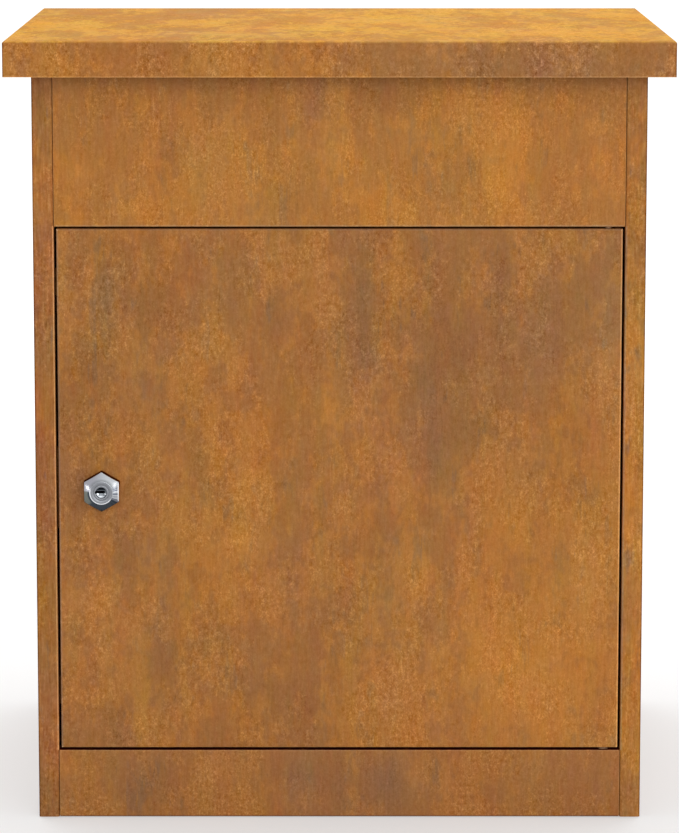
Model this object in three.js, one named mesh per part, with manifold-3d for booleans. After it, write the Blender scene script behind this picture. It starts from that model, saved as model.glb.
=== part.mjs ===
// Rusty sheet-steel parcel mailbox: a folded cabinet with a lifting lid and a locked collection door.
// Units are millimetres. +Z is up, the front faces -Y, and the origin is the middle of the foot.

import * as THREE from 'three';
import { mergeVertices } from 'three/addons/utils/BufferGeometryUtils.js';
import Module from 'manifold-3d';

const wasm = await Module();
wasm.setup();

// Overall form
const bodyWidth = 440;
const bodyDepth = 350;
const overallHeight = 570;
const lidSideOverhang = 18.5;
const lidFrontOverhang = 20;
const lidRimHeight = 25.5;

// Sheet and folds
const sheet = 1.5;
const bendRadius = 1.7;
const seam = 0.3;
const flangeWidth = 15;
const lipDepth = 12;
const panelFold = 15;
const backFold = 12;

// Front: plinth, door and upper panel
const plinthHeight = 50.5;
const upperPanelHeight = 129.5;
const doorGapEnds = 1.5;
const doorGapSides = 1.8;
const doorFold = 10;

// Door pins
const pivotInset = 10.2;
const doorPinRadius = 2.5;
const doorPinHeadRadius = 3.9;
const doorPinDepth = 6;
const doorPinHeadHeight = 2.5;
const doorPinReach = 6;
const doorRunningGap = 0.3;
const holeClearance = 0.3;

// Lid hinge
const knuckleRadius = 3.5;
const hingePinRadius = 1.5;
const hingePinClearance = 0.2;
const hingeEndInset = 5;
const knuckleCount = 9;
const knuckleGap = 0.5;
const leafWidth = 26;
const leafThickness = 1.5;
const hingeSetback = 5.3;
const lidPastHinge = 1.2;

// Baffle under the lid
const baffleSetback = 8;
const baffleClearance = 2.5;
const baffleFlange = 22;
const baffleStiffener = 8;
const baffleSideGap = 3;

// Studs and nuts under the lid
const studCount = 5;
const studEndInset = 45;
const studSetback = 18;
const studRadius = 2.5;
const studLength = 9;
const nutAcrossFlats = 8;
const nutHeight = 4;

// Rubber edge trim and lid seal
const trimWall = 1.2;
const trimDepth = 6;
const trimEndGap = 6;
const sealWidth = 10;
const sealInset = 2;
const sealEndGap = 5;

// Door stops
const stopStandoff = 1;
const stopGrip = 8;
const stopReach = 15;
const strikeHeight = 60;
const tabHeight = 20;
const tabInset = 30;
const bumperWidth = 10;
const bumperEdgeGap = 3;
const bumperMargin = 3;

// Cam lock
const lockInset = 31.2;
const doorMidToLock = 0;
const hexAcrossFlats = 25;
const hexHeight = 8;
const hexChamferDrop = 4;
const lockFaceRadius = 8.25;
const barrelRadius = 9.5;
const plugRadius = 5.5;
const plugClearance = 0.2;
const plugSink = 0.4;
const dishRadius = 4;
const dishDepth = 0.8;
const keyWidth = 7;
const keySlot = 1.5;
const keyDepth = 10;
const lockNutAcrossFlats = 24;
const lockNutHeight = 4;
const camLength = 33;
const camHubRadius = 8;
const camTipRadius = 6;
const camThickness = 2;
const camGap = 0.3;
const camScrewRadius = 2.5;
const camScrewGrip = 6;
const camScrewHeadRadius = 4.8;
const camScrewHeadHeight = 2.5;
const camWasherRadius = 6;
const camWasherThickness = 1;
const driverSlotWidth = 1.2;
const driverSlotDepth = 1.2;

// Holes for fixing the box to a wall or a floor
const wallHoleRadius = 4;
const wallHoleInset = 70;
const wallHoleEnd = 90;
const floorHoleRadius = 5;
const floorHoleInset = 70;
const floorHoleEnd = 70;

// Smoothness of round shapes
const arcSteps = 4;
const roundSteps = 24;
const smallRoundSteps = 16;

// Places that follow from the sizes above
const halfDepth = (lidFrontOverhang + bodyDepth) / 2;
const frontY = lidFrontOverhang - halfDepth;
const backY = halfDepth;
const bodyMidY = (frontY + backY) / 2;
const lidUnder = overallHeight - sheet;
const bodyTop = lidUnder - knuckleRadius;
const openingHalf = bodyWidth / 2 - flangeWidth;
const panelHalf = openingHalf - seam;
const doorHalf = openingHalf - doorGapSides;
const doorBottom = plinthHeight + doorGapEnds;
const upperPanelBottom = bodyTop - upperPanelHeight;
const doorTop = upperPanelBottom - doorGapEnds;
const doorHeight = doorTop - doorBottom;
const pivotX = doorHalf - pivotInset;
const pivotY = frontY + doorPinDepth;
const hingeY = backY - hingeSetback;
const hingeLength = 2 * (openingHalf - hingeEndInset);
const knucklePitch = hingeLength / knuckleCount;
const studSpacing = (2 * (openingHalf - studEndInset)) / (studCount - 1);
const wallHoleX = bodyWidth / 2 - wallHoleInset;
const floorHoleX = bodyWidth / 2 - floorHoleInset;
const lockX = lockInset - doorHalf;
const lockZ = (doorBottom + doorTop) / 2 + doorMidToLock;
const stopFrontY = frontY + lipDepth + stopStandoff;
const stopBackY = stopFrontY + sheet;
const camFrontY = stopBackY + camGap;
const barrelBack = camFrontY - camGap - frontY;

// Colours and finish of the pieces
function finish(color, roughness, metalness) {
  return { color, roughness, metalness };
}

const rust = finish(0xa56d39, 0.85, 0.25);
const lidRust = finish(0xb8813f, 0.85, 0.25);
const innerRust = finish(0x7d5131, 0.9, 0.25);
const brightSteel = finish(0xb9bcc0, 0.3, 0.95);
const zinc = finish(0x9c9a92, 0.45, 0.85);
const rubber = finish(0x1d1b1a, 0.85, 0);

// Turning a geometry into a solid that can be cut and joined, and back
function solidOf(geometry) {
  const bare = geometry.clone();
  bare.deleteAttribute('normal');
  bare.deleteAttribute('uv');
  const merged = mergeVertices(bare);
  const vertProperties = new Float32Array(merged.attributes.position.array);
  const triVerts = new Uint32Array(merged.index.array);
  return new wasm.Manifold(new wasm.Mesh({ numProp: 3, vertProperties, triVerts }));
}

function geometryOf(solid) {
  const mesh = solid.getMesh();
  const geometry = new THREE.BufferGeometry();
  geometry.setAttribute('position', new THREE.BufferAttribute(mesh.vertProperties, 3));
  geometry.setIndex(new THREE.BufferAttribute(mesh.triVerts, 1));
  geometry.computeVertexNormals();
  return geometry;
}

// An outline whose corners are [x, y, radius], with an arc at each corner that has a radius
function roundedOutline(corners) {
  const shape = new THREE.Shape();
  const places = corners.map(([x, y]) => new THREE.Vector2(x, y));
  corners.forEach(([, , radius = 0], i) => {
    const corner = places[i];
    const arriving = corner.clone().sub(places.at(i - 1)).normalize();
    const leaving = places[(i + 1) % places.length].clone().sub(corner).normalize();
    const turn = Math.atan2(arriving.cross(leaving), arriving.dot(leaving));
    const start = corner.clone().addScaledVector(arriving, -radius * Math.tan(Math.abs(turn) / 2));
    if (i === 0) shape.moveTo(start.x, start.y);
    else shape.lineTo(start.x, start.y);
    if (radius > 0) {
      const side = Math.sign(turn);
      const across = new THREE.Vector2(-arriving.y, arriving.x);
      const centre = start.clone().addScaledVector(across, side * radius);
      const from = Math.atan2(start.y - centre.y, start.x - centre.x);
      shape.absarc(centre.x, centre.y, radius, from, from + turn, side < 0);
    }
  });
  shape.closePath();
  return shape;
}

// The section of a folded sheet. The path is its outer skin, and its thickness lies to the left.
function foldedStrip(path) {
  const places = path.map(([x, y]) => new THREE.Vector2(x, y));
  const last = places.length - 1;
  const headings = places.slice(1).map((place, i) => place.clone().sub(places[i]).normalize());
  const skin = [];
  const inside = [];
  places.forEach((place, i) => {
    const arriving = headings[Math.max(i - 1, 0)];
    const leaving = headings[Math.min(i, last - 1)];
    const sides = new THREE.Vector2(-arriving.y - leaving.y, arriving.x + leaving.x);
    const mitre = sides.multiplyScalar(sheet / (1 + arriving.dot(leaving)));
    const turn = arriving.cross(leaving);
    const tight = bendRadius - sheet;
    const skinRadius = turn > 0 ? bendRadius : tight;
    const insideRadius = turn > 0 ? tight : bendRadius;
    const folded = i > 0 && i < last;
    skin.push([place.x, place.y, folded ? skinRadius : 0]);
    inside.unshift([place.x + mitre.x, place.y + mitre.y, folded ? insideRadius : 0]);
  });
  return roundedOutline([...skin, ...inside]);
}

// A section in X and Y, drawn up from z = 0
function upright(shape, height) {
  return new THREE.ExtrudeGeometry(shape, { depth: height, bevelEnabled: false, curveSegments: arcSteps });
}

// A section in Y and Z, drawn across from x = -width / 2 to x = width / 2
function across(shape, width) {
  const turned = new THREE.Matrix4().makeBasis(
    new THREE.Vector3(0, 1, 0),
    new THREE.Vector3(0, 0, 1),
    new THREE.Vector3(1, 0, 0),
  );
  return upright(shape, width).translate(0, 0, -width / 2).applyMatrix4(turned);
}

// A box between two corners
function block(low, high) {
  const size = high.map((value, i) => value - low[i]);
  const middle = high.map((value, i) => (value + low[i]) / 2);
  return new THREE.BoxGeometry(...size).translate(...middle);
}

// A round bar along Z
function bar(radius, low, high, steps = roundSteps) {
  const length = high - low;
  return new THREE.CylinderGeometry(radius, radius, length, steps)
    .rotateX(Math.PI / 2)
    .translate(0, 0, (low + high) / 2);
}

// A turned piece about Z, from its [radius, height] points
function turnedProfile(points, steps = roundSteps) {
  const profile = points.map(([radius, height]) => new THREE.Vector2(radius, height));
  return new THREE.LatheGeometry(profile, steps).rotateX(Math.PI / 2);
}

// A six-sided prism along Z with a corner pointing along +Y
function hexagon(acrossFlats) {
  const reach = acrossFlats / Math.sqrt(3);
  const corners = Array.from({ length: 6 }, (_, i) => {
    const angle = Math.PI / 2 + (i * Math.PI) / 3;
    return [reach * Math.cos(angle), reach * Math.sin(angle)];
  });
  return roundedOutline(corners);
}

// A tray with its face at y = 0 and its folds behind. The bottom edge is at z = 0. Unfolded sides stay open.
function trayBlock(width, height, depth, folds, inset) {
  const shift = (folded) => (folded ? inset : -inset);
  const corner = (folded) => (folded ? bendRadius - inset : 0);
  const left = -width / 2 + shift(folds.left);
  const right = width / 2 - shift(folds.right);
  const low = shift(folds.bottom);
  const high = height - shift(folds.top);
  const back = depth + inset;
  const plan = roundedOutline([
    [left, inset, corner(folds.left)],
    [right, inset, corner(folds.right)],
    [right, back],
    [left, back],
  ]);
  const section = roundedOutline([
    [inset, low, corner(folds.bottom)],
    [back, low],
    [back, high],
    [inset, high, corner(folds.top)],
  ]);
  const seenFromAbove = solidOf(upright(plan, high - low).translate(0, 0, low));
  const seenFromTheSide = solidOf(across(section, 2 * (width + inset)));
  return seenFromAbove.intersect(seenFromTheSide);
}

function foldedTray(width, height, depth, folds) {
  const outer = trayBlock(width, height, depth, folds, 0);
  return outer.subtract(trayBlock(width, height, depth, folds, sheet));
}

// A named mesh at its place, added to its group
function add(group, name, geometry, look, place = [0, 0, 0]) {
  const mesh = new THREE.Mesh(geometry, new THREE.MeshStandardMaterial(look));
  mesh.name = name;
  mesh.position.set(...place);
  group.add(mesh);
  return mesh;
}

const mailbox = new THREE.Group();
const cabinet = new THREE.Group();
const lidAssembly = new THREE.Group();
const doorAssembly = new THREE.Group();
const lockAssembly = new THREE.Group();
mailbox.add(cabinet, lidAssembly, doorAssembly);
doorAssembly.add(lockAssembly);

// Side panels: wall, front and rear flanges, lips turned back along the openings, and a foot fold
function sidePanel() {
  const outside = -bodyWidth / 2;
  const inside = -openingHalf;
  const reach = bodyDepth / 2;
  const section = foldedStrip([
    [inside, reach - lipDepth],
    [inside, reach],
    [outside, reach],
    [outside, -reach],
    [inside, -reach],
    [inside, -reach + lipDepth],
  ]);
  const wall = solidOf(upright(section, bodyTop));
  const rootIn = sheet / 2;
  const foot = block([outside + rootIn, rootIn - reach, 0], [inside - rootIn, reach - rootIn, sheet]);
  return geometryOf(wall.add(solidOf(foot)));
}

add(cabinet, 'side_panel_left', sidePanel(), rust, [0, bodyMidY, 0]);
add(cabinet, 'side_panel_right', sidePanel(), rust, [0, bodyMidY, 0]).rotation.z = Math.PI;

// Front panels between the flanges: a face with a fold at its top and at its foot
function frontChannel(height) {
  return foldedStrip([
    [panelFold, 0],
    [0, 0],
    [0, height],
    [panelFold, height],
  ].reverse());
}

// The panel's face is at y = 0 and its foot at z = 0. The door pin goes through the fold at pinHeight.
function frontPanel(height, pinHeight) {
  const panel = solidOf(across(frontChannel(height), 2 * panelHalf));
  const hole = bar(doorPinRadius + holeClearance, -panelFold, panelFold, smallRoundSteps);
  return geometryOf(panel.subtract(solidOf(hole.translate(pivotX, pivotY - frontY, pinHeight))));
}

const upperPanel = frontPanel(upperPanelHeight, 0);
const plinthPanel = frontPanel(plinthHeight, plinthHeight);
add(cabinet, 'upper_front_panel', upperPanel, rust, [0, frontY, upperPanelBottom]);
add(cabinet, 'plinth_panel', plinthPanel, rust, [0, frontY, 0]);

// Back panel: a face with a foot fold and four holes for wall screws
function backPanel() {
  const section = foldedStrip([
    [0, bodyTop],
    [0, 0],
    [-backFold, 0],
  ].reverse());
  let panel = solidOf(across(section, 2 * panelHalf));
  for (const x of [-wallHoleX, wallHoleX]) {
    for (const z of [wallHoleEnd, bodyTop - wallHoleEnd]) {
      const hole = bar(wallHoleRadius, -backFold, backFold, smallRoundSteps).rotateX(Math.PI / 2);
      panel = panel.subtract(solidOf(hole.translate(x, 0, z)));
    }
  }
  return geometryOf(panel);
}

add(cabinet, 'back_panel', backPanel(), rust, [0, backY, 0]);

// Base panel: a plate on the foot folds, notched round the lips, with four holes for ground bolts
function basePanel() {
  const middle = panelHalf;
  const side = bodyWidth / 2 - sheet - seam;
  const endInset = sheet + 2 * seam;
  const front = frontY + endInset;
  const back = backY - endInset;
  const notchFront = frontY + lipDepth + seam;
  const notchBack = backY - lipDepth - seam;
  const outline = roundedOutline([
    [-middle, front],
    [middle, front],
    [middle, notchFront],
    [side, notchFront],
    [side, notchBack],
    [middle, notchBack],
    [middle, back],
    [-middle, back],
    [-middle, notchBack],
    [-side, notchBack],
    [-side, notchFront],
    [-middle, notchFront],
  ]);
  for (const x of [-floorHoleX, floorHoleX]) {
    for (const y of [frontY + floorHoleEnd, backY - floorHoleEnd]) {
      const hole = new THREE.Path();
      hole.absarc(x, y, floorHoleRadius, 0, 2 * Math.PI, true);
      outline.holes.push(hole);
    }
  }
  return new THREE.ExtrudeGeometry(outline, {
    depth: sheet,
    bevelEnabled: false,
    curveSegments: smallRoundSteps,
  });
}

add(cabinet, 'base_panel', basePanel(), innerRust, [0, 0, sheet]);

// Long lid hinge: two leaves with knuckles that take turns along one pin
function knuckleRun(index) {
  const low = -hingeLength / 2 + index * knucklePitch + knuckleGap / 2;
  return [low, low + knucklePitch - knuckleGap];
}

function hingeLeaf(firstKnuckle, plate, web) {
  let leaf = solidOf(block([-hingeLength / 2, ...plate[0]], [hingeLength / 2, ...plate[1]]));
  for (let i = firstKnuckle; i < knuckleCount; i += 2) {
    const [low, high] = knuckleRun(i);
    const roll = bar(knuckleRadius, low, high, smallRoundSteps).rotateY(Math.PI / 2);
    const joining = block([low, ...web[0]], [high, ...web[1]]);
    leaf = leaf.add(solidOf(roll)).add(solidOf(joining));
  }
  const bore = bar(hingePinRadius + hingePinClearance, -hingeLength, hingeLength, smallRoundSteps);
  return leaf.subtract(solidOf(bore.rotateY(Math.PI / 2)));
}

function fixedLeaf() {
  const outer = hingeSetback - sheet;
  const inner = outer - leafThickness;
  const plateTop = -knuckleRadius - knuckleGap;
  const plate = [[inner, -leafWidth], [outer, plateTop]];
  const web = [[inner, plateTop - leafThickness], [outer, 0]];
  return geometryOf(hingeLeaf(0, plate, web));
}

const studPlaces = Array.from({ length: studCount }, (_, i) => (i - (studCount - 1) / 2) * studSpacing);

function studHoles(y) {
  const holes = studPlaces.map((x) => {
    const hole = bar(studRadius + holeClearance, -overallHeight, overallHeight, smallRoundSteps);
    return solidOf(hole.translate(x, y, 0));
  });
  return holes.reduce((all, hole) => all.add(hole));
}

function movingLeaf() {
  const top = knuckleRadius;
  const under = top - leafThickness;
  const plateBack = -knuckleRadius - knuckleGap;
  const plate = [[-leafWidth, under], [plateBack, top]];
  const web = [[plateBack - leafThickness, under], [0, top]];
  return geometryOf(hingeLeaf(1, plate, web).subtract(studHoles(-studSetback)));
}

function hingePin() {
  return bar(hingePinRadius, -hingeLength / 2, hingeLength / 2, smallRoundSteps).rotateY(Math.PI / 2);
}

add(cabinet, 'hinge_leaf_fixed', fixedLeaf(), zinc, [0, hingeY, bodyTop]);
add(cabinet, 'hinge_pin', hingePin(), brightSteel, [0, hingeY, bodyTop]);
add(lidAssembly, 'hinge_leaf_moving', movingLeaf(), zinc, [0, hingeY, bodyTop]);

// Lid: a tray with rims at its front and sides, turned to lie face up
function lidTray() {
  const width = bodyWidth + 2 * lidSideOverhang;
  const length = hingeY + lidPastHinge + halfDepth;
  const folds = { left: true, right: true, bottom: true, top: false };
  return geometryOf(foldedTray(width, length, lidRimHeight, folds)).rotateX(-Math.PI / 2);
}

add(lidAssembly, 'lid', lidTray(), lidRust, [0, -halfDepth, overallHeight]);

// Baffle: hangs from the lid close to the back, and swings forward to bar the way down when the lid is up
function baffle() {
  const rear = hingeY - baffleSetback;
  const top = lidUnder - leafThickness;
  const cornerY = frontY + panelFold;
  const reach = Math.hypot(hingeY - cornerY, bodyTop - upperPanelBottom) - baffleClearance;
  const drop = Math.sqrt(reach ** 2 - (baffleSetback + sheet) ** 2);
  const tip = bodyTop - drop;
  const section = foldedStrip([
    [rear - baffleFlange, top],
    [rear, top],
    [rear, tip + sheet],
    [rear + baffleStiffener, tip + sheet],
  ].reverse());
  const width = 2 * (openingHalf - baffleSideGap);
  return geometryOf(solidOf(across(section, width)).subtract(studHoles(hingeY - studSetback)));
}

add(lidAssembly, 'lid_baffle', baffle(), innerRust);

// Studs welded under the lid, and the nuts that hold the hinge leaf and the baffle on them
function nut(acrossFlats, height, boreRadius) {
  const prism = solidOf(upright(hexagon(acrossFlats), height));
  const bore = solidOf(bar(boreRadius, -height, 2 * height, smallRoundSteps));
  return geometryOf(prism.subtract(bore));
}

studPlaces.forEach((x, i) => {
  const y = hingeY - studSetback;
  const nutTop = lidUnder - leafThickness - sheet;
  const stud = bar(studRadius, -studLength, 0, smallRoundSteps);
  add(lidAssembly, `lid_stud_${i + 1}`, stud, zinc, [x, y, lidUnder]);
  const lidNut = nut(nutAcrossFlats, nutHeight, studRadius + holeClearance);
  add(lidAssembly, `lid_nut_${i + 1}`, lidNut, zinc, [x, y, nutTop - nutHeight]);
});

// Rubber trim on the top edges of the side panels, and the seal that the lid's front lies on
function edgeTrim() {
  const gap = seam;
  const slot = sheet / 2 + gap;
  const outer = slot + trimWall;
  const top = knuckleRadius - gap;
  const section = roundedOutline([
    [-outer, -trimDepth],
    [-slot, -trimDepth],
    [-slot, gap],
    [slot, gap],
    [slot, -trimDepth],
    [outer, -trimDepth],
    [outer, top, trimWall],
    [-outer, top, trimWall],
  ]);
  const length = bodyDepth - 2 * sheet - hingeSetback - 2 * trimEndGap;
  return upright(section, length).rotateX(Math.PI / 2).translate(0, length, 0);
}

const trimX = (bodyWidth - sheet) / 2;
const trimFront = frontY + 2 * sheet;
add(cabinet, 'edge_trim_left', edgeTrim(), rubber, [-trimX, trimFront, bodyTop]);
add(cabinet, 'edge_trim_right', edgeTrim(), rubber, [trimX, trimFront, bodyTop]);

function lidSeal() {
  const top = knuckleRadius - seam;
  const section = roundedOutline([
    [0, 0],
    [sealWidth, 0],
    [sealWidth, top, trimWall],
    [0, top, trimWall],
  ]);
  return across(section, 2 * (openingHalf - sealEndGap));
}

add(cabinet, 'lid_seal', lidSeal(), rubber, [0, frontY + sealInset, bodyTop]);

// Door: a shallow tray with holes for its two pins and for the lock
function doorTray() {
  const folds = { left: true, right: true, bottom: true, top: true };
  const tray = foldedTray(2 * doorHalf, doorHeight, doorFold, folds);
  const pivot = bar(doorPinRadius + doorRunningGap, -doorHeight, 2 * doorHeight, smallRoundSteps);
  const lockHole = bar(barrelRadius + holeClearance, -doorFold, doorFold).rotateX(Math.PI / 2);
  return geometryOf(
    tray
      .subtract(solidOf(pivot.translate(pivotX, doorPinDepth, 0)))
      .subtract(solidOf(lockHole.translate(lockX, 0, lockZ - doorBottom))),
  );
}

add(doorAssembly, 'door', doorTray(), rust, [0, frontY, doorBottom]);

// Door pins: the upper one hangs from its head, and the door stands on the lower one's collar
function upperPin() {
  const shank = 2 * sheet + doorGapEnds + doorPinReach;
  return turnedProfile([
    [0, -shank],
    [doorPinRadius, -shank],
    [doorPinRadius, 0],
    [doorPinHeadRadius, 0],
    [doorPinHeadRadius, doorPinHeadHeight],
    [0, doorPinHeadHeight],
  ]);
}

function lowerPin() {
  const collar = doorGapEnds - doorRunningGap;
  const shank = doorGapEnds + sheet + doorPinReach;
  const tail = sheet + doorPinReach;
  return turnedProfile([
    [0, -tail],
    [doorPinRadius, -tail],
    [doorPinRadius, 0],
    [doorPinHeadRadius, 0],
    [doorPinHeadRadius, collar],
    [doorPinRadius, collar],
    [doorPinRadius, shank],
    [0, shank],
  ]);
}

add(cabinet, 'door_pin_upper', upperPin(), brightSteel, [pivotX, pivotY, upperPanelBottom + sheet]);
add(cabinet, 'door_pin_lower', lowerPin(), brightSteel, [pivotX, pivotY, plinthHeight]);

// Door stops: angles on the back of the left lip, each with a rubber pad. The middle one is the strike.
function stopAngle(height) {
  const outside = -openingHalf - 2 * sheet;
  const section = foldedStrip([
    [outside, stopBackY - stopGrip - sheet],
    [outside, stopBackY],
    [-openingHalf + stopReach, stopBackY],
  ].reverse());
  return upright(section, height);
}

function bumper(height) {
  const left = -doorHalf + bumperEdgeGap;
  const front = frontY + doorFold + doorRunningGap;
  const section = roundedOutline([
    [left, front, seam],
    [left + bumperWidth, front, seam],
    [left + bumperWidth, stopFrontY],
    [left, stopFrontY],
  ]);
  return upright(section, height - 2 * bumperMargin);
}

const doorStops = [
  ['lock_strike', 'strike_pad', lockZ - strikeHeight / 2, strikeHeight],
  ['stop_tab_upper', 'tab_pad_upper', doorTop - tabInset - tabHeight, tabHeight],
  ['stop_tab_lower', 'tab_pad_lower', doorBottom + tabInset, tabHeight],
];
for (const [angleName, padName, bottom, height] of doorStops) {
  add(cabinet, angleName, stopAngle(height), innerRust, [0, 0, bottom]);
  add(cabinet, padName, bumper(height), rubber, [0, 0, bottom + bumperMargin]);
}

// Cam lock. Its pieces are made along +Z, out of the door, and then turned to face forward.
function facingForward(geometry) {
  return geometry.rotateX(Math.PI / 2);
}

const lockPlace = [lockX, frontY, lockZ];

function lockBarrel() {
  const cornerReach = hexAcrossFlats / Math.sqrt(3) + seam;
  const crown = turnedProfile([
    [0, -barrelBack],
    [cornerReach, -barrelBack],
    [cornerReach, hexHeight - hexChamferDrop],
    [lockFaceRadius, hexHeight],
    [0, hexHeight],
  ]);
  const head = solidOf(upright(hexagon(hexAcrossFlats), hexHeight));
  const tube = solidOf(bar(barrelRadius, -barrelBack, hexHeight / 2));
  const bore = solidOf(bar(plugRadius + plugClearance, -2 * barrelBack, 2 * hexHeight));
  return facingForward(geometryOf(head.intersect(solidOf(crown)).add(tube).subtract(bore)));
}

function lockPlug() {
  const face = hexHeight - plugSink;
  const back = -barrelBack - camGap;
  const body = turnedProfile([
    [0, back],
    [plugRadius, back],
    [plugRadius, face],
    [dishRadius, face],
    [dishRadius * 0.75, face - dishDepth],
    [0, face - dishDepth],
  ]);
  const keyway = block([-keyWidth / 2, -keySlot / 2, face - keyDepth], [keyWidth / 2, keySlot / 2, face + 1]);
  const screwHole = bar(camScrewRadius + holeClearance, back - 1, back + camScrewGrip + seam, smallRoundSteps);
  const plug = solidOf(body).subtract(solidOf(keyway)).subtract(solidOf(screwHole));
  return facingForward(geometryOf(plug));
}

function lockNut() {
  const ring = nut(lockNutAcrossFlats, lockNutHeight, barrelRadius + holeClearance);
  return facingForward(ring.translate(0, 0, -sheet - lockNutHeight));
}

const camBack = -barrelBack - camGap - camThickness;

function lockCam() {
  const outline = new THREE.Shape();
  outline.absarc(0, 0, camHubRadius, 0, Math.PI, false);
  outline.absarc(0, camTipRadius - camLength, camTipRadius, Math.PI, 2 * Math.PI, false);
  outline.closePath();
  const hole = new THREE.Path();
  hole.absarc(0, 0, camScrewRadius + holeClearance, 0, 2 * Math.PI, true);
  outline.holes.push(hole);
  const plate = new THREE.ExtrudeGeometry(outline, {
    depth: camThickness,
    bevelEnabled: false,
    curveSegments: smallRoundSteps,
  });
  return facingForward(plate.translate(0, 0, camBack));
}

const washerBack = camBack - camWasherThickness;

function camWasher() {
  const disc = solidOf(bar(camWasherRadius, washerBack, camBack));
  const hole = solidOf(bar(camScrewRadius + holeClearance, washerBack - 1, camBack + 1, smallRoundSteps));
  return facingForward(geometryOf(disc.subtract(hole)));
}

function camScrew() {
  const tip = camBack + camThickness + camScrewGrip;
  const head = washerBack - camScrewHeadHeight;
  const crownRadius = camScrewHeadRadius * 0.8;
  const body = turnedProfile([
    [0, head],
    [crownRadius, head],
    [camScrewHeadRadius, head + camScrewHeadHeight / 2],
    [camScrewHeadRadius, washerBack],
    [camScrewRadius, washerBack],
    [camScrewRadius, tip],
    [0, tip],
  ]);
  const reach = 2 * camScrewHeadRadius;
  const slot = block(
    [-reach, -driverSlotWidth / 2, head - driverSlotDepth],
    [reach, driverSlotWidth / 2, head + driverSlotDepth],
  );
  return facingForward(geometryOf(solidOf(body).subtract(solidOf(slot))));
}

add(doorAssembly, 'lock_barrel', lockBarrel(), brightSteel, lockPlace);
add(doorAssembly, 'lock_nut', lockNut(), zinc, lockPlace);
add(lockAssembly, 'lock_plug', lockPlug(), brightSteel, lockPlace);
add(lockAssembly, 'lock_cam', lockCam(), zinc, lockPlace);
add(lockAssembly, 'cam_washer', camWasher(), zinc, lockPlace);
add(lockAssembly, 'cam_screw', camScrew(), zinc, lockPlace);

export default mailbox;
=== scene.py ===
# %% [markdown]
# # A rusty parcel mailbox
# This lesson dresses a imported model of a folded-steel parcel mailbox. The solids come from a CAD
# frame that fixes every size and joint; here they get their finish. The real box is bare
# weathering steel, so almost everything you see is one thing: rust, in many colours and scales,
# lying on flat folded sheet, with a single bright steel lock as the only clean surface.

# %% Load the frame
import math

import bpy
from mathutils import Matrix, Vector


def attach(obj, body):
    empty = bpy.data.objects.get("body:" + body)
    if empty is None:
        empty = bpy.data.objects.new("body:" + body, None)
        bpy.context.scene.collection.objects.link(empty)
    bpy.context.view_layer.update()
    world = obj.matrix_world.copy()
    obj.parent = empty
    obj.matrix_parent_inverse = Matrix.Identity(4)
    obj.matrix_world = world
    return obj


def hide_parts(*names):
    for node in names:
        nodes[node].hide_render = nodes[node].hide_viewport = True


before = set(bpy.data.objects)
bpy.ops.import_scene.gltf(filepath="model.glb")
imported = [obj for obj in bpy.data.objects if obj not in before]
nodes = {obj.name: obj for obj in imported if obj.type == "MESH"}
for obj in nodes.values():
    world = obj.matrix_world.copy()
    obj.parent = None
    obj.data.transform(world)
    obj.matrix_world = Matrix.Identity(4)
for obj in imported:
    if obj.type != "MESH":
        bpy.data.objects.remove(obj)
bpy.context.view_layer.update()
print("pieces in the frame:", len(nodes))

# %% [markdown]
# ## Colours as they are written
# The Standard view transform shows a colour as it is written, so the lamps are later kept at a
# level where a surface that faces the camera comes out at its own colour. Colours are read off as
# display values from 0 to 255, and this helper turns them into the linear values a shader wants.

# %% Colour settings
scene = bpy.context.scene
scene.view_settings.view_transform = "Standard"
MM = 0.001
TO_MM = 1000.0


def display_colour(red, green, blue):
    def linear(value):
        share = value / 255
        return share / 12.92 if share <= 0.04045 else ((share + 0.055) / 1.055) ** 2.4
    return linear(red), linear(green), linear(blue), 1.0


print("middle rust in linear light:", display_colour(166, 110, 57))

# %% [markdown]
# ## Camera
# The product picture is taken from the front, a little above the lid, with upright lines kept
# upright by a shifted lens. A strong shift would push the box out of any other view, so here most
# of it is done by a small tilt, with a longer lens from further back to keep the sides nearly
# parallel. A little shift is left for the framing.

# %% Make the camera
CAMERA_BACK = 2.805
CAMERA_HEIGHT = 0.761
CAMERA_TILT = 8.09
CAMERA_LENS = 160.4
CAMERA_SHIFT = -0.145


def make_camera():
    data = bpy.data.cameras.new("front_camera")
    data.sensor_width = 36
    data.lens = CAMERA_LENS
    data.shift_y = CAMERA_SHIFT
    camera = bpy.data.objects.new("front_camera", data)
    camera.location = (0, -CAMERA_BACK, CAMERA_HEIGHT)
    camera.rotation_euler = (math.radians(90 - CAMERA_TILT), 0, 0)
    scene.collection.objects.link(camera)
    scene.camera = camera
    return camera


camera = make_camera()
print("camera at", [round(value, 3) for value in camera.location])

# %% [markdown]
# ## Helpers for node trees
# Every finish is a tree of small nodes. These helpers keep the wiring readable: the first makes a
# node and fills or links its inputs, and the others use it for sums, products, a mix of colours, a
# soft step, vectors, noise, a node group and a material's start and end. A value that is a socket
# gets a link, and anything else is set on the input itself.

# %% Node helpers


def add_node(tree, kind, inputs=None, **settings):
    made = tree.nodes.new("ShaderNode" + kind)
    for name, value in settings.items():
        setattr(made, name, value)
    for key, value in (inputs or {}).items():
        if isinstance(value, bpy.types.NodeSocket):
            tree.links.new(value, made.inputs[key])
        else:
            made.inputs[key].default_value = value
    return made


def calculate(tree, operation, first, second=0.0, clamp=False):
    made = add_node(tree, "Math", {0: first, 1: second}, operation=operation, use_clamp=clamp)
    return made.outputs[0]


def times(tree, first, second):
    return calculate(tree, "MULTIPLY", first, second)


def plus(tree, first, second):
    return calculate(tree, "ADD", first, second)


def total_of(tree, parts):
    total = parts[0]
    for part in parts[1:]:
        total = plus(tree, total, part)
    return total


def product_of(tree, parts):
    product = parts[0]
    for part in parts[1:]:
        product = times(tree, product, part)
    return product


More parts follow.
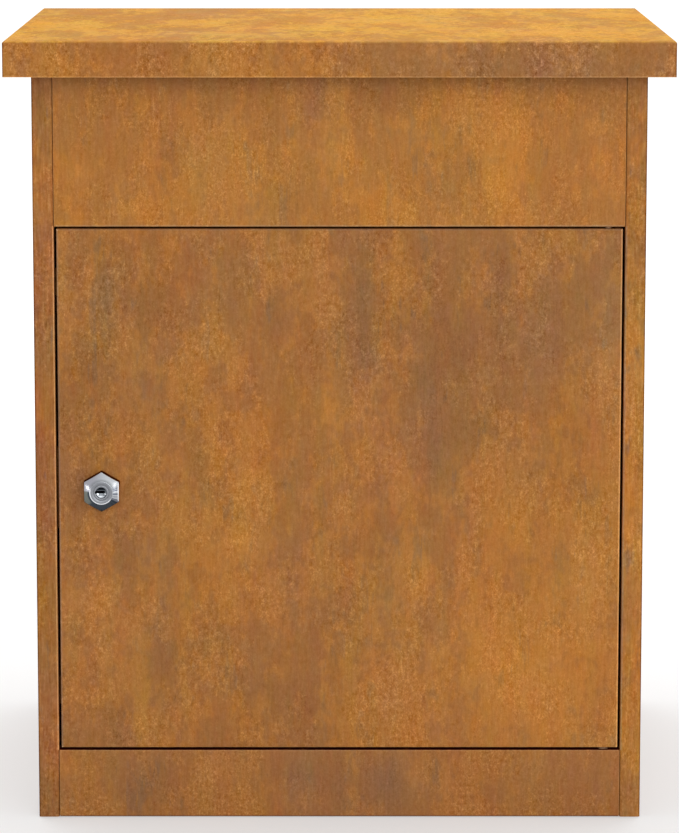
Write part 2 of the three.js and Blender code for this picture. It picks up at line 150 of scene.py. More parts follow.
def mix_colours(tree, share, first, second):
    return add_node(tree, "Mix", {0: share, 6: first, 7: second}, data_type="RGBA").outputs[2]


def smooth_step(tree, value, low, high):
    made = add_node(
        tree, "MapRange", {"Value": value, "From Min": low, "From Max": high},
        interpolation_type="SMOOTHSTEP",
    )
    return made.outputs[0]


def vector_math(tree, operation, first, second=(0, 0, 0), result="Vector"):
    made = add_node(tree, "VectorMath", {0: first, 1: second}, operation=operation)
    return made.outputs[result]


def along(tree, way, amount):
    return add_node(tree, "VectorMath", {0: way, "Scale": amount}, operation="SCALE").outputs[0]


def parts_of(tree, vector):
    return add_node(tree, "SeparateXYZ", {0: vector}).outputs


def noise(tree, position, size, detail, roughness, stretch=(1, 1, 1)):
    """Fractal noise whose largest lumps are about size across, in the unit of position."""
    squeezed = vector_math(tree, "MULTIPLY", position, tuple(1 / value for value in stretch))
    return add_node(
        tree, "TexNoise",
        {"Vector": squeezed, "Scale": 1 / size, "Detail": detail, "Roughness": roughness},
    )


def new_group(name, inputs, outputs):
    """Inputs and outputs are given with a default each: a tuple is a vector, a number a float."""
    group = bpy.data.node_groups.new(name, "ShaderNodeTree")
    for way, sockets in (("INPUT", inputs), ("OUTPUT", outputs)):
        for label, value in sockets.items():
            kind = "NodeSocketVector" if isinstance(value, tuple) else "NodeSocketFloat"
            made = group.interface.new_socket(name=label, in_out=way, socket_type=kind)
            made.default_value = value
    given = group.nodes.new("NodeGroupInput").outputs
    wanted = group.nodes.new("NodeGroupOutput").inputs
    return group, given, wanted


def fill_group(tree, group, inputs):
    return add_node(tree, "Group", inputs, node_tree=group).outputs


def new_material(name):
    material = bpy.data.materials.new(name)
    material.use_nodes = True
    material.node_tree.nodes.clear()
    return material, material.node_tree


def finished(material, colour, roughness, height, bump, depth, others):
    """Ends a material in one surface, with a bump of some strength and depth in metres."""
    tree = material.node_tree
    bumped = add_node(tree, "Bump", {"Strength": bump, "Distance": depth, "Height": height})
    surface = add_node(tree, "BsdfPrincipled", {
        "Base Color": colour, "Roughness": roughness, "Normal": bumped.outputs[0], **others,
    })
    add_node(tree, "OutputMaterial", {"Surface": surface.outputs[0]})
    return material


def position_in_mm(tree):
    metres = tree.nodes.new("ShaderNodeTexCoord").outputs["Object"]
    return along(tree, metres, TO_MM)


print("node helpers ready")

# %% [markdown]
# ## A white studio
# Light comes from three places: a wide soft lamp above and slightly behind, which makes the lid's
# top the brightest face and leaves only a thin shadow under its rim; a wide lamp in front for the
# door; and an even world. A small spot on the left and a tall strip on the right are there for the
# polished lock, because bright metal shows the lamps themselves. The white background is only what
# camera and mirror rays see, so it adds no light to the box. The floor glows a little for the same
# rays, more so further out, which fades it into the background and leaves a soft shadow.

# %% World and floor
WORLD_STRENGTH = 0.62
WHITE = (1, 1, 1, 1)
PAPER_GREY = (0.5, 0.5, 0.5, 1)
FLOOR_SIZE = 24.0
FLOOR_DROP = 0.0005
NEAR_GLOW, FAR_GLOW = 0.40, 0.80
GLOW_STARTS, GLOW_ENDS = 0.5, 2.5


def seen_directly(tree):
    """1 for a ray from the camera or one turned by a mirror or by glass, and 0 for all others."""
    path = tree.nodes.new("ShaderNodeLightPath").outputs
    by_eye = calculate(tree, "MAXIMUM", path["Is Camera Ray"], path["Is Glossy Ray"])
    return calculate(tree, "MAXIMUM", by_eye, path["Is Transmission Ray"])


def make_world():
    world = bpy.data.worlds.new("white_surround")
    world.use_nodes = True
    tree = world.node_tree
    tree.nodes.clear()
    even = add_node(tree, "Background", {"Color": WHITE, "Strength": WORLD_STRENGTH})
    white = add_node(tree, "Background", {"Color": WHITE, "Strength": 1.0})
    mixed = add_node(
        tree, "MixShader", {0: seen_directly(tree), 1: even.outputs[0], 2: white.outputs[0]}
    )
    add_node(tree, "OutputWorld", {"Surface": mixed.outputs[0]})
    scene.world = world


def make_floor():
    bpy.ops.object.select_all(action="DESELECT")
    bpy.ops.mesh.primitive_plane_add(size=FLOOR_SIZE, location=(0, 0, -FLOOR_DROP))
    floor = bpy.context.object
    floor.name = "studio_floor"
    material, tree = new_material("pale_floor")
    place = tree.nodes.new("ShaderNodeTexCoord").outputs["Object"]
    distance = vector_math(tree, "LENGTH", place, result="Value")
    growth = add_node(
        tree, "MapRange",
        {
            "Value": distance, "From Min": GLOW_STARTS, "From Max": GLOW_ENDS,
            "To Min": NEAR_GLOW, "To Max": FAR_GLOW,
        },
        interpolation_type="SMOOTHSTEP",
    ).outputs[0]
    strength = times(tree, seen_directly(tree), growth)
    paper = add_node(tree, "BsdfDiffuse", {"Color": PAPER_GREY})
    glow = add_node(tree, "Emission", {"Color": WHITE, "Strength": strength})
    both = add_node(tree, "AddShader", {0: paper.outputs[0], 1: glow.outputs[0]})
    add_node(tree, "OutputMaterial", {"Surface": both.outputs[0]})
    floor.data.materials.append(material)


make_world()
make_floor()
print("world strength", WORLD_STRENGTH, "floor", FLOOR_SIZE, "m")

# %% Lamps


def make_lamp(name, place, aim, size, power):
    data = bpy.data.lights.new(name, "AREA")
    data.shape = "RECTANGLE"
    data.size, data.size_y = size
    data.energy = power
    lamp = bpy.data.objects.new(name, data)
    lamp.location = place
    direction = Vector(aim) - Vector(place)
    lamp.rotation_euler = direction.to_track_quat("-Z", "Y").to_euler()
    scene.collection.objects.link(lamp)
    return lamp


LOCK_AIM = (-0.17, -0.16, 0.25)
LAMPS = [
    # name, place, aim, size, power in watts
    ("top_lamp", (0.0, 0.6, 2.8), (0, 0.1, 0.4), (2.4, 2.0), 62),
    ("front_lamp", (0.5, -3.2, 0.9), (0, 0, 0.25), (2.4, 1.6), 34),
    ("left_spot", (-2.0, -0.95, 0.38), LOCK_AIM, (0.18, 0.28), 1.8),
    ("right_strip", (1.45, -1.15, 0.50), LOCK_AIM, (0.35, 1.6), 2.4),
]
for lamp in LAMPS:
    make_lamp(*lamp)
print("lamps placed:", len(LAMPS))

# %% [markdown]
# ## Rust, part 1: stains that have a place
# On the real box the broad stains aren't chance alone: rain runs down in streaks, and some fields
# dried dark while others dried orange. Pure noise would never put them where they are, so the
# broad ones are placed one by one, each as a soft oval in millimetres on the front. Before an oval
# is measured, the position itself is pushed about by noise, which frays its edge like a real stain.

# %% Stain groups
WANDER_NOISE = (42.0, 6, 0.6, (1, 1, 1.3))
WANDER_REACH = 26.0
ORIGIN = (0, 0, 0)


def build_wandering():
    group, given, wanted = new_group(
        "wandering position", {"Position": ORIGIN, "Reach": WANDER_REACH}, {"Position": ORIGIN}
    )
    push = noise(group, given["Position"], *WANDER_NOISE).outputs["Color"]
    centred = vector_math(group, "SUBTRACT", push, (0.5, 0.5, 0.5))
    moved = vector_math(group, "ADD", given["Position"], along(group, centred, given["Reach"]))
    group.links.new(moved, wanted["Position"])
    return group


# An oval makes a stain, and on the door also the lock's painted shadow.
def build_oval_stain():
    group, given, wanted = new_group(
        "oval stain",
        {"Position": ORIGIN, "Centre": ORIGIN, "Half Size": (10, 10, 10), "Strength": 1.0},
        {"Value": 0.0},
    )
    offset = vector_math(group, "SUBTRACT", given["Position"], given["Centre"])
    scaled = vector_math(group, "DIVIDE", offset, given["Half Size"])
    squared = vector_math(group, "DOT_PRODUCT", scaled, scaled, "Value")
    fading = calculate(group, "EXPONENT", times(group, squared, -1.0))
    value = times(group, fading, given["Strength"])
    group.links.new(value, wanted["Value"])
    return group


wandering = build_wandering()
oval_stain = build_oval_stain()
print("stain groups built")

# %% [markdown]
# ## Rust, part 2: the skin itself
# Rust varies about equally at every size, from half a millimetre to the whole door, but not in the
# same colours. Its broad fields go from dark brown to orange ochre, and a little to a cool mauve
# or to olive, while its finest grain is only light and dark. So the skin adds noises along four
# directions of colour to a middle colour. Where an orange crust has flaked, the step to the brown
# under it is sharp and ragged, so part of the cloud noise is pushed to two levels, and a placed
# stain or a painted shadow tips that choice either way. Rain has drawn the middle sizes out into
# upright streaks, some of them thin and dark. The grain isn't even: it gathers in crusty clusters
# with yellow specks and dark pits, and leaves smoother fields between them. Edge wear and painted
# highlights move the colour towards a pale tan, and painted shade moves it away. The sums are made
# on display values, where equal steps look equal, and one gamma turns them into linear light.

# %% Rust skin group
OCHRE_WAY = (0.87, 0.50, -0.06)
TOP_OCHRE_WAY = (0.72, 0.66, 0.08)
MAUVE_WAY = (-0.15, 0.38, 0.92)
OLIVE_WAY = (-0.52, 0.80, -0.29)
GREY_WAY = (0.58, 0.58, 0.58)
WEAR_AND_PAINTED_LIGHT_WAY = (44, 40, 32)
LEVEL = 1 / 255
DARKEST = 0.05
GAMMA = 2.2

# Each noise: the size of its lumps in mm, its detail, its roughness and its stretch.
CLOUD_NOISE = (56.0, 4, 0.9, (1, 1, 1.8))
STREAK_NOISE = (12.0, 4, 0.7, (1, 1, 8))
FINE_NOISE = (2.4, 2, 1.0, (1, 1, 1.25))
THREAD_NOISE = (1.7, 1, 1.0, (1, 1, 9))
FIELD_NOISE = (30.0, 5, 0.8, (1, 1, 1.7))
BROAD_NOISE = (130.0, 3, 0.6, (1, 1, 1.2))

# Between which values each noise goes from none to all of what it marks.
PATCH_STEP = (0.46, 0.54)
CRUST_STEP = (0.42, 0.60)
RUN_STEP = (0.53, 0.60)
DRIP_STEP = (0.50, 0.62)
SPECK_STEP = (0.56, 0.68)
WEAR_AND_PAINTED_LIGHT_STEP = (0.22, 0.45)

# How many display levels each part of the rust moves the colour by, along each direction.
OCHRE = {
    "stain_and_shadow": 0.7, "cloud": 38, "patch": 10, "broad": 22,
    "run": 30, "fine": 10, "speck": 10, "drip": -15,
}
MAUVE = {"cloud": 36, "fine": 10, "drip": 5}
GREY = {"fine": 112, "thread": 34}
OLIVE = {"cloud": 17, "run": 14}

STAIN_AND_SHADOW_TIP = 0.004
CLOUD_TIPS_CRUST = 0.35
SMOOTH_GRAIN, CRUST_GRAIN = 0.5, 0.9
SMOOTH_ROUGHNESS, CRUST_ROUGHNESS = 0.76, 0.12


def weighed(tree, value, weight):
    """How far a noise value is from its middle, times a weight."""
    return times(tree, calculate(tree, "SUBTRACT", value, 0.5), weight)


def build_rust_skin():
    group, given, wanted = new_group(
        "rust skin",
        {
            "Position": ORIGIN, "Seed": ORIGIN, "Middle": (163, 109, 58), "Ochre Way": OCHRE_WAY,
            "Stain And Shadow": 0.0, "Mauve": 0.0, "Clouds": 1.0, "Runs": 1.0, "Grain": 1.0, "Wear And Painted Light": 0.0,
        },
        {"Color": ORIGIN, "Roughness": 0.0, "Height": 0.0},
    )
    place = vector_math(group, "ADD", given["Position"], given["Seed"])

    def channels(colour):
        return add_node(group, "SeparateColor", {0: colour}).outputs

    def moved(value, levels, share):
        return times(group, weighed(group, value, levels), share)

    cloud = channels(noise(group, place, *CLOUD_NOISE).outputs["Color"])
    fine = channels(noise(group, place, *FINE_NOISE).outputs["Color"])
    streaks = noise(group, place, *STREAK_NOISE).outputs
    runs, tinge = streaks[0], channels(streaks["Color"])[1]
    threads = noise(group, place, *THREAD_NOISE).outputs[0]
    field = noise(group, place, *FIELD_NOISE).outputs[0]
    broad = noise(group, place, *BROAD_NOISE).outputs[0]

    leaning = plus(group, times(group, given["Stain And Shadow"], STAIN_AND_SHADOW_TIP), cloud[0])
    patch = smooth_step(group, leaning, *PATCH_STEP)
    raised = plus(group, weighed(group, cloud[0], CLOUD_TIPS_CRUST), field)
    crust = smooth_step(group, raised, *CRUST_STEP)
    lively = plus(group, times(group, crust, CRUST_GRAIN), SMOOTH_GRAIN)
    lively = times(group, lively, given["Grain"])
    specks = smooth_step(group, fine[2], *SPECK_STEP)
    dripped = product_of(group, [
        smooth_step(group, runs, *RUN_STEP), smooth_step(group, cloud[2], *DRIP_STEP),
        given["Runs"],
    ])
    ochre = total_of(group, [
        times(group, given["Stain And Shadow"], OCHRE["stain_and_shadow"]),
        moved(cloud[0], OCHRE["cloud"], given["Clouds"]),
        moved(patch, OCHRE["patch"], given["Clouds"]),
        moved(broad, OCHRE["broad"], given["Clouds"]),
        moved(runs, OCHRE["run"], given["Runs"]),
        moved(fine[0], OCHRE["fine"], lively),
        times(group, specks, times(group, crust, OCHRE["speck"])),
        times(group, dripped, OCHRE["drip"]),
    ])
    mauve = total_of(group, [
        given["Mauve"],
        moved(cloud[1], MAUVE["cloud"], given["Clouds"]),
        moved(fine[1], MAUVE["fine"], lively),
        times(group, dripped, MAUVE["drip"]),
    ])
    grey = total_of(group, [
        moved(fine[2], GREY["fine"], lively), moved(threads, GREY["thread"], given["Runs"]),
    ])
    olive = total_of(group, [
        moved(cloud[2], OLIVE["cloud"], given["Clouds"]), moved(tinge, OLIVE["run"], given["Runs"]),
    ])
    # Edge wear with painted highlights, and painted shade where the amount is below zero.
    wear_and_painted_light = times(group, given["Wear And Painted Light"], smooth_step(group, field, *WEAR_AND_PAINTED_LIGHT_STEP))

    shown = given["Middle"]
    for way, amount in (
        (given["Ochre Way"], ochre), (MAUVE_WAY, mauve), (OLIVE_WAY, olive), (GREY_WAY, grey),
        (WEAR_AND_PAINTED_LIGHT_WAY, wear_and_painted_light),
    ):
        shown = vector_math(group, "ADD", shown, along(group, way, amount))
    shown = vector_math(group, "MAXIMUM", along(group, shown, LEVEL), (DARKEST, DARKEST, DARKEST))
    colour = add_node(group, "Gamma", {"Color": shown, "Gamma": GAMMA}).outputs[0]

    roughness = plus(group, times(group, crust, CRUST_ROUGHNESS), SMOOTH_ROUGHNESS)
    height = total_of(group, [times(group, fine[2], lively), cloud[0]])
    group.links.new(colour, wanted["Color"])
    group.links.new(roughness, wanted["Roughness"])
    group.links.new(height, wanted["Height"])
    return group


rust_skin = build_rust_skin()
print("rust skin group has", len(rust_skin.nodes), "nodes")

# %% [markdown]
# ## Rust materials, one for each panel
# Each panel was cut from another part of the sheet, so each has its own seed and its own list of
# placed stains; on the door one of them is the lock's painted shadow, and the sheets under the
# lid's rim get a painted shadow along it. Along the gaps each sheet's edge gets painted highlights,
# partly edge wear: a thin tan line on one side and a duller one on the other, while the outer
# corners get a dark line of painted shade. Painted shade also lies on the plinth's ledge in the
# door's lower gap and in the corner round the lock. The lid's top is seen almost edge on, so its
# clouds are drawn out from front to back and made stronger; its middle colour is lighter and more
# ochre, partly its own weathering and partly painted light from above.

# %% Rust materials
# Places on the box, in mm.
FRONT_Y, LID_FRONT = -165.0, -185.0
LID_TOP, RIM_LOW, LID_SIDE = 570.0, 544.5, 238.5
BODY_SIDE, POST_SIDE, DOOR_SIDE = 220.0, 205.0, 203.2
UPPER_LOW, DOOR_HIGH, DOOR_LOW, PLINTH_TOP = 435.5, 434.0, 52.0, 50.5
LOCK_X, LOCK_Z = -172.0, 243.0
MARK_DEPTH = 400.0

# The painted shadow under the lid's rim: its height, then the reach in mm and levels of each layer.
RIM_SHADOW_HEIGHT = 538.5
RIM_SHADOW_LAYERS = [(6, -15), (22, -7)]

# The painted shade on the plinth's ledge and round the lock: the steps of its masks and its
# strength.
LEDGE_HEIGHT, LEDGE_FRONT, LEDGE_BACK = (49.9, 50.3), (FRONT_Y, FRONT_Y + 0.6), (-148.0, -156.0)
LEDGE_SHADE = -2.4
LOCK_CORNER, LOCK_UPPER, LOCK_SHADE = (13.5, 12.6), (2.0, 6.0), -2.2
HEX_SLANT = (0.5, math.sqrt(3) / 2)

MOST_WEAR_AND_PAINTED_LIGHT = 1.5
TOP_BAND = (LID_TOP - 1.8, LID_TOP - 0.2)
TOP_CLOUDS, TOP_GRAIN, TOP_LAY = 0.55, -0.5, 0.45
RUST_BUMP, RUST_BUMP_DEPTH, RUST_SHINE = 0.3, 0.0002, 0.03


def front_mark(x, z, half_width, half_height, strength):
    return (x, FRONT_Y, z), (half_width, MARK_DEPTH, half_height), strength


def painted_edge_line(tree, position, axis, edge, inward, width, strength, low, high, front=FRONT_Y):
    """Painted light on a front sheet along an upright (axis X) or level (axis Z) edge, low to high.
    """
    part = parts_of(tree, position)
    away = times(tree, calculate(tree, "SUBTRACT", part[axis], edge), inward)
    beside = smooth_step(tree, away, width, width * 0.35)
    other = part["Z" if axis == "X" else "X"]
    above_low = smooth_step(tree, other, low - 0.5, low + 0.5)
    below_high = smooth_step(tree, other, high + 0.5, high - 0.5)
    in_front = smooth_step(tree, part["Y"], front + 1.2, front + 0.6)
    return product_of(tree, [beside, times(tree, above_low, below_high), in_front, strength])


def painted_shadow_under_rim(tree, position, strength):
    """Painted shadow: the sheet is darkest a few mm below the lid's rim, and less so further down.
    """
    below = calculate(tree, "SUBTRACT", parts_of(tree, position)["Z"], RIM_SHADOW_HEIGHT)
    squared = times(tree, below, below)
    layers = [
        times(tree, calculate(tree, "EXPONENT", times(tree, squared, -1 / reach ** 2)), levels)
        for reach, levels in RIM_SHADOW_LAYERS
    ]
    return times(tree, total_of(tree, layers), strength)


def rust_material(
    name, seed, middle, stains_and_shadows=(), mauve_stains=(), clouds=1.0, runs=1.0, grain=1.0, top=None,
    edges=(), dull_edges=(), extra_painted_shade=None, rim_shadow=0.0,
):
    material, tree = new_material(name)
    position = position_in_mm(tree)
    frayed = fill_group(tree, wandering, {"Position": position})["Position"]

    lay, ochre_way = position, OCHRE_WAY
    # The top's lighter, more ochre colour is partly its own weathering, partly painted light from
    # above.
    if top:
        on_top = smooth_step(tree, parts_of(tree, position)["Z"], *TOP_BAND)

        def by_height(side, above):
            mixed = add_node(tree, "Mix", {0: on_top, 4: side, 5: above}, data_type="VECTOR")
            return mixed.outputs[1]

        middle = by_height(middle, top)
        ochre_way = by_height(OCHRE_WAY, TOP_OCHRE_WAY)
        clouds = plus(tree, times(tree, on_top, TOP_CLOUDS), clouds)
        grain = plus(tree, times(tree, on_top, TOP_GRAIN), grain)
        lay = add_node(
            tree, "VectorMath",
            {0: position, 1: (1, TOP_LAY, 1), 2: (0, (1 - TOP_LAY) * LID_FRONT, 0)},
            operation="MULTIPLY_ADD",
        ).outputs[0]

    def sum_of_ovals(marks):
        ovals = [
            fill_group(tree, oval_stain, {
                "Position": frayed, "Centre": centre, "Half Size": half_size, "Strength": levels,
            })["Value"]
            for centre, half_size, levels in marks
        ]
        return total_of(tree, ovals) if ovals else 0.0

    # The rolled faces and edge lines: edge wear and painted highlights, and painted shade below
    # zero.
    wear_and_painted_light = total_of(tree, [
        add_node(tree, "Attribute", None, attribute_name="edge_wear_and_highlight").outputs["Fac"],
        *(painted_edge_line(tree, position, *edge) for edge in edges),
    ])
    wear_and_painted_light = calculate(tree, "MINIMUM", wear_and_painted_light, MOST_WEAR_AND_PAINTED_LIGHT)
    if extra_painted_shade:
        wear_and_painted_light = plus(tree, wear_and_painted_light, extra_painted_shade(tree, position))
    mauve = total_of(tree, [
        sum_of_ovals(mauve_stains),
        *(painted_edge_line(tree, position, *edge) for edge in dull_edges),
    ])
    stain_and_shadow = sum_of_ovals(stains_and_shadows)
    # A painted shadow under the lid's rim, laid in with the stains.
    if rim_shadow:
        stain_and_shadow = plus(tree, painted_shadow_under_rim(tree, position, rim_shadow), stain_and_shadow)
    skin = fill_group(tree, rust_skin, {
        "Position": lay, "Seed": seed, "Middle": middle, "Ochre Way": ochre_way, "Stain And Shadow": stain_and_shadow,
        "Mauve": mauve, "Clouds": clouds, "Runs": runs, "Grain": grain, "Wear And Painted Light": wear_and_painted_light,
    })
    return finished(
        material, skin["Color"], skin["Roughness"], skin["Height"], RUST_BUMP, RUST_BUMP_DEPTH,
        {"Specular IOR Level": RUST_SHINE},
    )


# Each mark: x, z, half width and half height in mm, then display levels.
# On the door the mark at x -188 and z 239 is the lock's painted shadow; the others are stains.
DOOR_STAINS_AND_SHADOW = [front_mark(*mark) for mark in (
    (140, 110, 95, 120, 16), (75, 345, 75, 80, -11), (-78, 225, 38, 66, 10),
    (-180, 300, 42, 130, -7), (-188, 239, 9, 20, -20), (-5, 300, 25, 40, 6),
    (-165, 385, 10, 36, -15), (-140, 378, 14, 24, -11), (-137, 315, 7, 14, -11),
    (-47, 366, 7, 22, -13), (-61, 318, 8, 14, -11), (17, 385, 9, 52, -14), (14, 340, 9, 20, -12),
    (60, 320, 22, 28, -11), (86, 350, 11, 20, -10), (118, 395, 7, 26, -13), (136, 355, 30, 36, -10),
    (68, 280, 10, 30, -12), (97, 290, 14, 14, -10), (-90, 240, 10, 10, -13),
    (-157, 200, 8, 20, -13), (-129, 136, 9, 34, -18), (-57, 96, 22, 11, -12), (32, 200, 9, 24, -16),
    (79, 172, 7, 22, -13), (185, 67, 10, 12, -13), (-85, 362, 14, 12, 12), (43, 401, 8, 22, 12),
    (-7, 308, 9, 14, 17), (-65, 254, 22, 18, 10), (-72, 204, 9, 11, 16), (-100, 170, 18, 28, 9),
    (-172, 160, 9, 14, 13), (154, 283, 9, 22, 13), (64, 180, 11, 14, 12), (179, 172, 11, 42, 12),
    (120, 112, 42, 36, 13), (128, 218, 14, 18, 10), (-161, 66, 8, 24, -14), (-142, 70, 8, 20, 12),
    (-122, 66, 8, 20, -11), (-26, 82, 11, 18, -13), (-84, 82, 18, 18, 9), (12, 136, 9, 40, -10),
)]
DOOR_MAUVE = [front_mark(*mark) for mark in (
    (-165, 385, 11, 34, 6), (-140, 320, 8, 14, 5), (-129, 136, 8, 34, 6), (17, 390, 9, 44, 5),
    (136, 355, 40, 40, 5), (195, 360, 14, 60, 6), (35, 200, 12, 34, 5), (68, 285, 11, 26, 4),
)]
UPPER_STAINS = [front_mark(*mark) for mark in (
    (-17, 523, 7, 20, -22), (-122, 487, 11, 18, -16), (40, 527, 18, 8, -13), (75, 458, 12, 10, -8),
    (-190, 476, 18, 14, 12), (4, 480, 11, 18, 17), (-32, 490, 12, 12, 12), (122, 498, 12, 18, 10),
    (115, 466, 14, 12, 10), (-120, 494, 24, 30, -7), (82, 478, 20, 24, -9), (23, 533, 12, 10, -10),
)]
UPPER_MAUVE = [front_mark(-17, 528, 12, 24, 5)]


def lid_mark(x, y, half_width, half_depth, strength):
    return (x, y, LID_TOP + 20), (half_width, half_depth, 24.0), strength


LID_STAINS = [
    ((150, LID_FRONT - 20, 550), (120, 40, 26), -26),
    ((-60, LID_FRONT - 20, 550), (110, 40, 26), 14),
    ((98, LID_FRONT - 10, 556), (14, 20, 18), -14),
    ((-50, LID_FRONT - 10, 557), (12, 20, 12), -10),
    ((-205, LID_FRONT - 10, 552), (18, 20, 14), 12),
    ((228, LID_FRONT - 10, 556), (10, 20, 16), -10),
    ((3, LID_FRONT - 10, 556), (12, 20, 10), -12),
    ((44, LID_FRONT - 10, 556), (18, 20, 12), 8),
    lid_mark(-190, 60, 90, 200, -10),
    lid_mark(150, 60, 130, 240, 9),
    lid_mark(-20, 150, 110, 60, -8),
    lid_mark(-60, -120, 70, 40, 9),
    lid_mark(60, 20, 60, 50, -10),
    lid_mark(-160, 10, 50, 50, 9),
    lid_mark(-125, -120, 40, 44, -13),
]
LID_MAUVE = [
    lid_mark(-125, -120, 45, 46, 13),
    ((170, LID_FRONT - 10, 555), (70, 40, 24), 8),
    ((60, LID_FRONT - 10, 555), (60, 40, 20), 4),
]
PLINTH_STAINS = [front_mark(*mark) for mark in (
    (-140, 24, 18, 18, -16), (-29, 31, 14, 14, -16), (3, 24, 9, 20, -16), (36, 24, 18, 20, -21),
    (-198, 38, 12, 10, 12), (-90, 35, 12, 10, 8), (11, 26, 6, 22, 13), (52, 32, 8, 12, 12),
)]
PLINTH_MAUVE = [front_mark(-28, 30, 14, 30, 8), front_mark(36, 24, 24, 24, 7)]


def side_mark(y, z, half_width, half_height, strength):
    return (0, y, z), (4000.0, half_width, half_height), strength


SIDE_STAINS = [side_mark(*mark) for mark in (
    (-90, 420, 40, 110, -9), (40, 500, 16, 90, -13), (110, 380, 24, 120, 9), (-30, 250, 60, 60, 8),
    (0, 10, 400, 26, -9), (-120, 120, 40, 60, 7), (70, 150, 18, 80, -10),
)]


def post_mark(side, z, half_height, strength):
    return (side * 212.5, FRONT_Y, z), (40, 30, half_height), strength


LEFT_STAINS = SIDE_STAINS + [
    post_mark(-1, 490, 40, 16), post_mark(-1, 395, 26, -14), post_mark(-1, 310, 26, 14),
    post_mark(-1, 208, 16, -8), post_mark(-1, 78, 26, 8),
]
RIGHT_STAINS = SIDE_STAINS + [post_mark(1, 420, 90, -11), post_mark(1, 225, 34, 14)]
# Each edge line is painted light: a highlight where its strength is above zero, painted shade
# where it is below. Each edge: axis, place, the way onto the sheet, the line's width and strength,
# low and high end.
BESIDE_DOOR, ACROSS_FRONT, WHOLE_SIDE = (50, 436), (-204, 204), (0, 560)
LID_CORNER = (1.1, -1.1, 544, 569, LID_FRONT)
DOOR_EDGES = [
    ("X", DOOR_SIDE, -1, 1.5, 1.4, *BESIDE_DOOR), ("Z", DOOR_LOW, 1, 1.2, 0.6, *ACROSS_FRONT),
]
DOOR_DULL = [
    ("X", -DOOR_SIDE, 1, 1.8, 30, *BESIDE_DOOR), ("Z", DOOR_HIGH, -1, 1.4, 22, *ACROSS_FRONT),
]
UPPER_EDGES = [("Z", UPPER_LOW, 1, 1.8, 0.35, *ACROSS_FRONT)]
UPPER_DULL = [("Z", UPPER_LOW, 1, 1.8, 26, *ACROSS_FRONT)]
PLINTH_EDGES = [
    ("Z", PLINTH_TOP, -1, 1.3, 0.35, *ACROSS_FRONT), ("Z", 0, 1, 1.0, -0.8, *ACROSS_FRONT),
]
PLINTH_DULL = [("Z", PLINTH_TOP, -1, 1.3, 14, *ACROSS_FRONT)]
LEFT_EDGES = [
    ("X", -POST_SIDE, -1, 1.4, 1.4, *BESIDE_DOOR), ("X", -BODY_SIDE, 1, 1.1, -1.1, *WHOLE_SIDE),
]
RIGHT_EDGES = [("X", BODY_SIDE, -1, 1.1, -1.1, *WHOLE_SIDE)]
RIGHT_DULL = [("X", POST_SIDE, 1, 1.8, 34, *BESIDE_DOOR)]
LID_EDGES = [
    ("Z", RIM_LOW, 1, 1.0, 0.5, -238, 238, LID_FRONT),
    ("X", -LID_SIDE, 1, *LID_CORNER), ("X", LID_SIDE, -1, *LID_CORNER),
]


def painted_shade_on_ledge(tree, position):
    """Painted shade: a dark line along the front of the plinth's top, under the door's lower gap.
    """
    part = parts_of(tree, position)
    return product_of(tree, [
        smooth_step(tree, part["Z"], *LEDGE_HEIGHT), smooth_step(tree, part["Y"], *LEDGE_FRONT),
        smooth_step(tree, part["Y"], *LEDGE_BACK), LEDGE_SHADE,
    ])


def painted_shade_round_lock(tree, position):
    """Painted shade: a thin black line in the corner between the lock's upper flats and the door.
    """
    part = parts_of(tree, position)
    across = calculate(tree, "ABSOLUTE", calculate(tree, "SUBTRACT", part["X"], LOCK_X))
    up = calculate(tree, "SUBTRACT", part["Z"], LOCK_Z)
    slanted = plus(tree, times(tree, across, HEX_SLANT[0]), times(tree, up, HEX_SLANT[1]))
    reach = calculate(tree, "MAXIMUM", across, slanted)
    return product_of(tree, [
        smooth_step(tree, reach, *LOCK_CORNER), smooth_step(tree, up, *LOCK_UPPER), LOCK_SHADE,
    ])


rust_door = rust_material(
    "rust_door", (0, 0, 0), (167, 112, 63), DOOR_STAINS_AND_SHADOW, DOOR_MAUVE,
    edges=DOOR_EDGES, dull_edges=DOOR_DULL, extra_painted_shade=painted_shade_round_lock,
)
rust_upper = rust_material(
    "rust_upper", (310, 40, 90), (178, 119, 62), UPPER_STAINS, UPPER_MAUVE, clouds=0.9,
    edges=UPPER_EDGES, dull_edges=UPPER_DULL, rim_shadow=1.0,
)
rust_plinth = rust_material(
    "rust_plinth", (90, 210, 40), (166, 111, 64), PLINTH_STAINS, PLINTH_MAUVE, clouds=0.7,
    edges=PLINTH_EDGES, dull_edges=PLINTH_DULL, extra_painted_shade=painted_shade_on_ledge,
)
rust_lid = rust_material(
    "rust_lid", (40, 500, 70), (172, 115, 62), LID_STAINS, LID_MAUVE, clouds=1.05, runs=0.6,
    grain=1.35, top=(179, 129, 63), edges=LID_EDGES,
)
rust_left = rust_material(
    "rust_left", (700, 20, 33), (163, 108, 63), LEFT_STAINS, clouds=1.0, runs=1.9, edges=LEFT_EDGES,
    rim_shadow=0.2,
)
rust_right = rust_material(
    "rust_right", (720, 320, 93), (175, 117, 61), RIGHT_STAINS, clouds=1.0, runs=1.9,
    edges=RIGHT_EDGES, dull_edges=RIGHT_DULL, rim_shadow=0.7,
)
rust_parts = rust_material("rust_parts", (555, 61, 12), (158, 103, 57), clouds=0.8, runs=0.8)
rust_back = rust_material("rust_back", (15, 900, 150), (160, 107, 57), clouds=1.2, runs=2.0)
rust_inside = rust_material("rust_inside", (200, 33, 610), (150, 98, 55), clouds=0.8, runs=0.8)
print("rust materials ready")

# %% [markdown]
# ## Metal and rubber
# The cam and the nuts are dull zinc, and so is the long hinge at the back, and the pads and trims
# are black rubber. Rust washes down on all of them, so each wears a patchy brown film that is
# neither metal nor smooth. The door's pins are plain steel under the same film.

